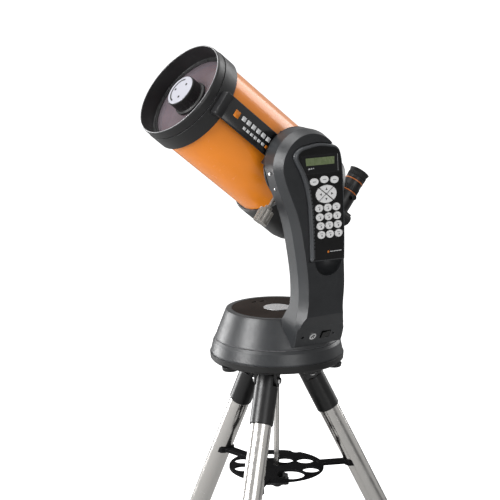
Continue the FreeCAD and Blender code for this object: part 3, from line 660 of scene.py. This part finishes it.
class TELESCOPE_OT_eyepiece(bpy.types.Operator):
    """Finish the star diagonal, the eyepiece and the focus knob"""
    bl_idname = "telescope.eyepiece"
    bl_label = "Eyepiece"

    def execute(self, context):
        look = context.scene.telescope
        body = coated("Diagonal Black", look.black_colour, rough=0.38, wear_and_highlight=0.4)
        rubber = coated("Soft Rubber", look.black_colour, rough=0.75, grain=0.0005, depth=0.00005,
                        wear_and_highlight=0.1)
        cad_look(body, "star_diagonal", "eyepiece_body")
        cad_look(rubber, "eyecup", "focus_knob")
        place, length = centre_line("eyepiece_body", TUBE_UP)
        accent = coated("Band Accent", (0.62, 0.16, 0.02), rough=0.35, wear_and_highlight=0.2, dust=0.02)
        for name, depth, radius in EYEPIECE_BANDS:
            height = length - depth
            ring = lathe(band(radius - 0.0006, radius + 0.0002, height - 0.0011, height + 0.0009))
            finish_mesh("eyepiece_band_" + name, ring, place, accent, "eyepiece")
        ribs = bmesh.new()
        for step in range(RIB_COUNT):
            turn = Matrix.Rotation(math.tau * step / RIB_COUNT, 4, "Z")
            for low, high in ((length - 0.0290, length - 0.0190),
                              (length + 0.0004, length + 0.0065)):
                corners = [turn @ Vector((RIB_RADIUS, y, height)) for y, height in
                           ((-RIB_HALF, low), (RIB_HALF, low), (RIB_HALF, high), (-RIB_HALF, high))]
                add_plate(ribs, corners, turn @ Vector((RIB_RISE, 0, 0)))
        finish_mesh("eyepiece_ribs", ribs, place, rubber, "eyepiece")
        return {"FINISHED"}


class TELESCOPE_OT_mount(bpy.types.Operator):
    """Finish the saddle, the arm and the turntable"""
    bl_idname = "telescope.mount"
    bl_label = "Mount"

    def execute(self, context):
        look = context.scene.telescope
        arm = coated("Arm Coat", look.arm_colour, rough=0.40, wear_and_highlight=0.3, depth=0.00003)
        black = coated("Mount Black", look.black_colour, rough=0.42, wear_and_highlight=0.5)
        # Darker than the other black parts: the switch's own black, and painted shade of the pocket
        # it sits in.
        rocker_and_shade = coated("Rocker Black And Pocket Shade", (0.002, 0.002, 0.002), rough=0.3, wear_and_highlight=0.1)
        door = coated("Door Brown", (0.040, 0.034, 0.031), rough=0.55, wear_and_highlight=0.2, specular=0.0)
        # Its edges are made almost white: partly worn metal, partly a painted highlight.
        grip = coated("Clamp Grip", (0.16, 0.15, 0.135), rough=0.32, wear_and_highlight=0.9,
                      wear_and_highlight_colour=(0.75, 0.73, 0.68))
        disc = coated("Bright Disc", (0.60, 0.60, 0.61), rough=0.30, grain=0.0005, depth=0.000003,
                      vary=0.08, metallic=0.5)
        drive = metal("Drive Metal", (0.55, 0.55, 0.56), rough=0.35)
        cad_look(arm, "arm_shell", "arm_inner_cover", "base_top_shell")
        cad_look(black, "base_bottom", "altitude_saddle", "battery_pack")
        cad_look(rocker_and_shade, "power_switch")
        cad_look(door, "battery_door")
        cad_look(grip, "clamp_knob")
        cad_look(disc, "level_disc")
        cad_look(drive, "azimuth_drive", "altitude_drive")
        cad_look(metal("Chrome Ring", (0.8, 0.8, 0.8), rough=0.08), "power_jack")
        self.add_saddle_bolts()
        self.add_base_trim(black)
        return {"FINISHED"}

    def add_saddle_bolts(self):
        """Two bright bolts that turn with the saddle, set by the end of its axle."""
        hub = Vector(joint("altitude_turn")["pos_m"])
        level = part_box("altitude_saddle")[0].y + SADDLE_BOLT_INSET
        chrome = metal("Bolt Chrome", (0.85, 0.85, 0.86), rough=0.10, depth=0.0000005, vary=0.03)
        for index, degrees in enumerate(SADDLE_BOLT_TURNS):
            turn = math.radians(degrees)
            out = Vector((math.cos(turn), 0, math.sin(turn)))
            centre = Vector((hub.x, level, hub.z)) + out * SADDLE_BOLT_REACH
            place = axis_matrix(centre, out, Vector((0, 1, 0)))
            finish_mesh("saddle_bolt_%d" % (index + 1), lathe(SADDLE_BOLT, 24), place, chrome,
                        "saddle")

    def add_base_trim(self, black):
        """Skirt and feet of the fixed base, and the two lines round the turntable."""
        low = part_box("base_top_shell")[0]
        ring = Matrix.Translation((0, 0, low.z + TURNTABLE_LIP))
        dark = coated("Skirt Black", (0.0025, 0.0025, 0.0026), rough=0.5, wear_and_highlight=0.1)
        finish_mesh("base_skirt", lathe(SKIRT), ring, dark, "tripod")
        for index in range(3):
            turn = math.radians(BASE_FOOT_TURN + 120 * index)
            place = ring @ Matrix.Translation(polar(BASE_FOOT_REACH, turn, 0))
            finish_mesh("base_foot_%d" % (index + 1), lathe(BASE_FOOT, 40), place, black,
                        "tripod")
        finish_mesh("door_ring", lathe(DOOR_RING), ring, dark, "turntable")
        light = coated("Seam Light", (0.11, 0.11, 0.115), rough=0.4, dust=0.0)
        finish_mesh("base_seam", lathe(SEAM), ring, light, "turntable")


class TELESCOPE_OT_handset(bpy.types.Operator):
    """Finish the hand control and its keys"""
    bl_idname = "telescope.handset"
    bl_label = "Hand control"

    def execute(self, context):
        look = context.scene.telescope
        gloss = coated("Handset Gloss", look.black_colour, rough=0.22, wear_and_highlight=0.15, coat=0.5,
                       depth=0.000008)
        grey = coated("Handset Grey", shade(look.arm_colour, 2.2), rough=0.38, wear_and_highlight=0.3)
        key = coated("Key White", look.key_colour, rough=0.38, wear_and_highlight=0.15,
                     wear_and_highlight_colour=(0.6, 0.6, 0.58), vary=0.03)
        window = coated("Window Black", (0.01, 0.01, 0.011), rough=0.08, wear_and_highlight=0.0, coat=1.0,
                        depth=0.000002)
        key_starts = ("arrow_key", "function_key", "number_keys")
        cad_look(gloss, "handset_shell")
        cad_look(grey, "handset_back")
        cad_look(window, "lcd_window")
        cad_look(key, *[name for name in NODES if name.startswith(key_starts)])
        self.add_frame(grey, gloss)
        self.add_display()
        self.add_marks()
        return {"FINISHED"}

    def add_frame(self, grey, gloss):
        """The lighter frame round the front, wide on the side held by the fingers."""
        low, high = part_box("handset_shell")
        outline = even_outline(rim_points("handset_shell", high.y), 220)
        normals = inward(outline)
        widths = []
        for normal in normals:
            side = max(0.0, normal.x) ** 1.5
            top = max(0.0, -normal.y) ** 2
            widths.append(0.0016 + 0.0066 * side + 0.0030 * top)

        def loop(share, extra, level):
            return [(x + normal.x * (width * share + extra), level,
                     z + normal.y * (width * share + extra))
                    for (x, z), normal, width in zip(outline, normals, widths)]

        face = low.y
        section = [loop(share, extra, face + rise) for share, extra, rise in FRAME_SECTION]
        finish_mesh("handset_frame", ring_solid(section), IN_PLACE, grey, "handset",
                    sharp=60)
        notches = bmesh.new()
        start = high.z - NOTCH_START
        for step in range(NOTCH_COUNT):
            height = start - step * NOTCH_SPACING
            index = min((i for i, normal in enumerate(normals) if normal.x > 0.6),
                        key=lambda i: abs(outline[i][1] - height))
            edge = outline[index][0] + widths[index] * 0.80
            add_bar(notches, (edge, face - 0.0008, height), (0.0014, 0.0011), (0, -0.0006, 0))
        finish_mesh("handset_notches", notches, IN_PLACE, gloss, "handset")

    def add_display(self):
        """Green-grey display on the window, a light line at its side, and small printed marks."""
        low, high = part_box("lcd_window")
        width = high.x - low.x
        left, right = low.x + 0.115 * width, low.x + 0.865 * width
        top, bottom = high.z - 0.0055, high.z - 0.0185
        display = bmesh.new()
        add_plate(display, [(left, low.y, top), (right, low.y, top), (right, low.y, bottom),
                            (left + 0.0015, low.y, bottom)], (0, -0.00025, 0))
        finish_mesh("display", display, IN_PLACE, display_material(), "handset")
        line = bmesh.new()
        add_plate(line, [(right + 0.0062, low.y, high.z - 0.0015),
                         (right + 0.0072, low.y, high.z - 0.0015),
                         (right + 0.0088, low.y, low.z + 0.0020),
                         (right + 0.0078, low.y, low.z + 0.0020)], PRINT_LIFT)
        pale = coated("Window Edge", (0.30, 0.30, 0.31), rough=0.3, wear_and_highlight=0.0, dust=0.0)
        finish_mesh("window_edge", line, IN_PLACE, pale, "handset")
        marks = bmesh.new()
        for step in range(3):
            x = left + 0.006 + step * 0.0045
            drop = 0.0006 * (2 - step)
            add_plate(marks, [(x, low.y, bottom - 0.0050), (x + 0.0034, low.y, bottom - 0.0042),
                              (x + 0.0030, low.y, bottom - 0.0052 - drop),
                              (x + 0.0006, low.y, bottom - 0.0062 - drop)], PRINT_LIFT)
        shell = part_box("handset_shell")
        face = shell[0].y
        base = shell[0].z + 0.0165
        centre = (shell[0].x + shell[1].x) / 2 + 0.020
        for step in range(4):
            place = (centre + 0.006 + step * 0.0062, face, base)
            add_bar(marks, place, (0.0026, 0.0007), PRINT_LIFT)
        white = coated("Print White", (0.75, 0.76, 0.77), rough=0.5, wear_and_highlight=0.0, dust=0.0, vary=0.04)
        finish_mesh("handset_marks", marks, IN_PLACE, white, "handset")
        accent = bmesh.new()
        add_bar(accent, (centre - 0.001, face, base), (0.0019, 0.0019), PRINT_LIFT)
        warm = coated("Print Warm", (0.75, 0.22, 0.02), rough=0.5, wear_and_highlight=0.0, dust=0.0, vary=0.04)
        finish_mesh("handset_accent", accent, IN_PLACE, warm, "handset")

    def add_marks(self):
        """Arrows and plain marks on the keys."""
        ink = coated("Key Ink", (0.03, 0.03, 0.03), rough=0.6, wear_and_highlight=0.0, dust=0.0)
        soft = coated("Key Ink Soft", (0.30, 0.31, 0.32), rough=0.6, wear_and_highlight=0.0, dust=0.0)
        for name, turn in (("right", 0), ("up", 90), ("left", 180), ("down", 270)):
            low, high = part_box("arrow_key_" + name)
            centre = (low + high) / 2
            angle = math.radians(turn)
            corners = []
            for reach, step in ((0.0030, 0), (0.0026, 125), (0.0026, 235)):
                part = angle + math.radians(step)
                corners.append((centre.x + reach * math.cos(part), low.y,
                                centre.z + reach * math.sin(part)))
            mark = bmesh.new()
            add_plate(mark, corners, KEY_LIFT)
            finish_mesh("arrow_mark_" + name, mark, IN_PLACE, ink, "arrow_" + name)
        for name in ("left", "middle", "right"):
            low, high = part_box("function_key_" + name)
            centre = (low + high) / 2
            mark = bmesh.new()
            add_bar(mark, (centre.x, low.y, centre.z), (0.0036, 0.0006), KEY_LIFT)
            finish_mesh("function_mark_" + name, mark, IN_PLACE, soft, "function_" + name)
        for row in range(1, 5):
            low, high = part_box("number_keys_row_%d" % row)
            pitch = (high.x - low.x - 2 * NUMBER_KEY_HALF) / 2
            z = (low.z + high.z) / 2
            light = bmesh.new()
            dark = bmesh.new()
            for column in range(3):
                x = low.x + NUMBER_KEY_HALF + column * pitch
                add_bar(light, (x - 0.0006, low.y, z + 0.0022), (0.0028, 0.0005), KEY_LIFT)
                add_bar(dark, (x + 0.0008, low.y, z - 0.0016), (0.0010, 0.0014), KEY_LIFT)
            body = "number_row_%d" % row
            finish_mesh("row_mark_light_%d" % row, light, IN_PLACE, soft, body)
            finish_mesh("row_mark_dark_%d" % row, dark, IN_PLACE, ink, body)


class TELESCOPE_OT_tripod(bpy.types.Operator):
    """Finish the tripod, its tray and its feet"""
    bl_idname = "telescope.tripod"
    bl_label = "Tripod"

    def execute(self, context):
        look = context.scene.telescope
        black = coated("Tripod Black", look.black_colour, rough=0.34, wear_and_highlight=0.25, depth=0.00002)
        steel = metal("Leg Steel", look.steel_colour, rough=0.20, depth=0.0000006, vary=0.05)
        rubber = coated("Foot Rubber", look.black_colour, rough=0.8, wear_and_highlight=0.1)
        tray = coated("Tray Black", shade(look.black_colour, 2.0), rough=0.55, wear_and_highlight=0.25,
                      specular=0.0)
        bright = metal("Bolt Steel", (0.72, 0.72, 0.72), rough=0.18, stretch=(300.0, 300.0, 300.0))
        cad_look(black, "tripod_head", "tray_knob")
        cad_look(tray, "tray")
        cad_look(steel, "centre_rod")
        for leg in "abc":
            cad_look(steel, "leg_upper_" + leg, "leg_lower_" + leg)
            cad_look(black, "leg_sleeve_" + leg)
            cad_look(rubber, "leg_foot_" + leg)
            hinge = joint("leg_fold_" + leg)
            centre = Vector(hinge["pos_m"])
            axis = Vector(hinge["axis"]).normalized()
            for side, end, steps in ((1, "nut", 6), (-1, "head", 40)):
                place = axis_matrix(centre + axis * side * HINGE_BOLT_OUT, axis * side, UP)
                finish_mesh("hinge_bolt_%s_%s" % (leg, end), lathe(HINGE_BOLT, steps), place,
                            bright, "tripod")
        return {"FINISHED"}


LIGHTS = (  # name; metres across, towards the camera and up from the aim; size; watts
    ("Key Light", (-2.4, 1.5, 0.9), (1.2, 2.2), 125),
    ("Top Light", (-0.4, 0.0, 2.6), (2.0, 2.0), 50),
    ("Right Rim", (2.2, -2.0, 1.0), (1.6, 2.4), 36),
    ("Left Rim", (-2.4, -1.6, -0.1), (1.2, 1.8), 60),
    ("Front Fill", (1.4, 3.0, 0.4), (1.8, 2.2), 34),
)
WHITE = (1.0, 1.0, 1.0, 1.0)


def area_light(name, place, aim, size, power):
    """A soft rectangular light at a place, turned towards a point."""
    light = bpy.data.lights.new(name, "AREA")
    light.shape = "RECTANGLE"
    light.size, light.size_y = size
    light.energy = power
    holder = bpy.data.objects.new(name, light)
    holder.location = place
    holder.rotation_euler = (aim - place).to_track_quat("-Z", "Y").to_euler()
    bpy.context.scene.collection.objects.link(holder)


class TELESCOPE_OT_studio(bpy.types.Operator):
    """Floor, soft lights and camera"""
    bl_idname = "telescope.studio"
    bl_label = "Studio"

    def execute(self, context):
        self.add_floor(context.scene.telescope_studio)
        self.set_world(context)
        self.add_camera(context)
        context.scene.view_settings.view_transform = "Standard"
        return {"FINISHED"}

    def add_floor(self, studio):
        """White floor that shows brighter than it lights the pieces above it."""
        bpy.ops.mesh.primitive_plane_add(size=studio.floor_size)
        floor = bpy.context.object
        floor.name = "studio_floor"
        pale, tree, shader = new_material("Pale Floor")
        surface = placed(tree, "Surface Grain", {"Tone Size": 2.0})
        base = mix_colour(tree, surface.outputs["Tone"], (0.88, 0.88, 0.88, 1.0),
                          (0.90, 0.90, 0.90, 1.0))
        seen = add(tree, "ShaderNodeLightPath").outputs["Is Camera Ray"]
        away = add(tree, "ShaderNodeVectorMath", {0: object_place(tree)},
                   operation="LENGTH").outputs["Value"]
        lift = ramp_range(tree, away, 1.0, 5.0, 0.62, 1.0)
        feed(tree, shader, {"Base Color": mix_colour(tree, seen, (0.34, 0.34, 0.34, 1.0), base),
                            "Roughness": 0.9, "Specular IOR Level": 0.1, "Emission Color": WHITE,
                            "Emission Strength": maths(tree, "MULTIPLY", seen, lift)})
        floor.data.materials.append(pale)

    def set_world(self, context):
        """White surroundings, dimmer in reflections than to the camera."""
        world = context.scene.world or bpy.data.worlds.new("Studio")
        context.scene.world = world
        world.use_nodes = True
        tree = world.node_tree
        sky = tree.nodes.get("Background") or tree.nodes.new("ShaderNodeBackground")
        ray = add(tree, "ShaderNodeLightPath")
        shine = ramp_range(tree, ray.outputs["Is Glossy Ray"], 0.0, 1.0, 0.22, 0.50)
        strength = maths(tree, "MAXIMUM", ray.outputs["Is Camera Ray"], shine)
        feed(tree, sky, {"Color": WHITE, "Strength": strength})

    def add_camera(self, context):
        """Camera by its two angles and distance, and the lights placed round its aim."""
        studio = context.scene.telescope_studio
        across = Vector((math.cos(studio.azimuth), math.sin(studio.azimuth), 0))
        back = Vector((math.sin(studio.azimuth) * math.cos(studio.elevation),
                       -math.cos(studio.azimuth) * math.cos(studio.elevation),
                       math.sin(studio.elevation)))
        aim = Vector((0, 0, studio.aim_height)) + across * studio.aim_across
        level = Vector((back.x, back.y, 0)).normalized()
        for name, (sideways, forward, rise), size, power in LIGHTS:
            place = aim + across * sideways + level * forward + UP * rise
            area_light(name, place, aim, size, power)
        camera_data = bpy.data.cameras.new("Camera")
        camera_data.sensor_width = 36.0
        camera_data.lens = studio.lens
        camera = bpy.data.objects.new("Camera", camera_data)
        camera.location = aim + back * studio.distance
        camera.rotation_euler = back.to_track_quat("Z", "Y").to_euler()
        context.scene.collection.objects.link(camera)
        context.scene.camera = camera


class TELESCOPE_PT_panel(bpy.types.Panel):
    """Buttons for each group of pieces"""
    bl_idname = "TELESCOPE_PT_panel"
    bl_label = "Telescope"
    bl_space_type = "VIEW_3D"
    bl_region_type = "UI"
    bl_category = "Telescope"

    def draw(self, context):
        for operator in OPERATORS:
            self.layout.operator(operator.bl_idname)
        for settings in (context.scene.telescope, context.scene.telescope_studio):
            for name in settings.bl_rna.properties.keys():
                if name not in ("rna_type", "name"):
                    self.layout.prop(settings, name)


OPERATORS = (TELESCOPE_OT_optical_tube, TELESCOPE_OT_bar_trim, TELESCOPE_OT_eyepiece,
             TELESCOPE_OT_mount, TELESCOPE_OT_handset, TELESCOPE_OT_tripod, TELESCOPE_OT_studio)
CLASSES = (TelescopeSettings, StudioSettings, *OPERATORS, TELESCOPE_PT_panel)


def register():
    for entry in CLASSES:
        bpy.utils.register_class(entry)
    bpy.types.Scene.telescope = bpy.props.PointerProperty(type=TelescopeSettings)
    bpy.types.Scene.telescope_studio = bpy.props.PointerProperty(type=StudioSettings)


def unregister():
    del bpy.types.Scene.telescope_studio
    del bpy.types.Scene.telescope
    for entry in reversed(CLASSES):
        bpy.utils.unregister_class(entry)


def main():
    register()
    for make_group in (grain_group, wear_and_highlight_group, dust_group, brushed_group):
        make_group()
    for operator in OPERATORS:
        space, name = operator.bl_idname.split(".")
        if getattr(getattr(bpy.ops, space), name)() != {"FINISHED"}:
            raise RuntimeError(operator.bl_label + " was not made")


if __name__ == "__main__":
    main()
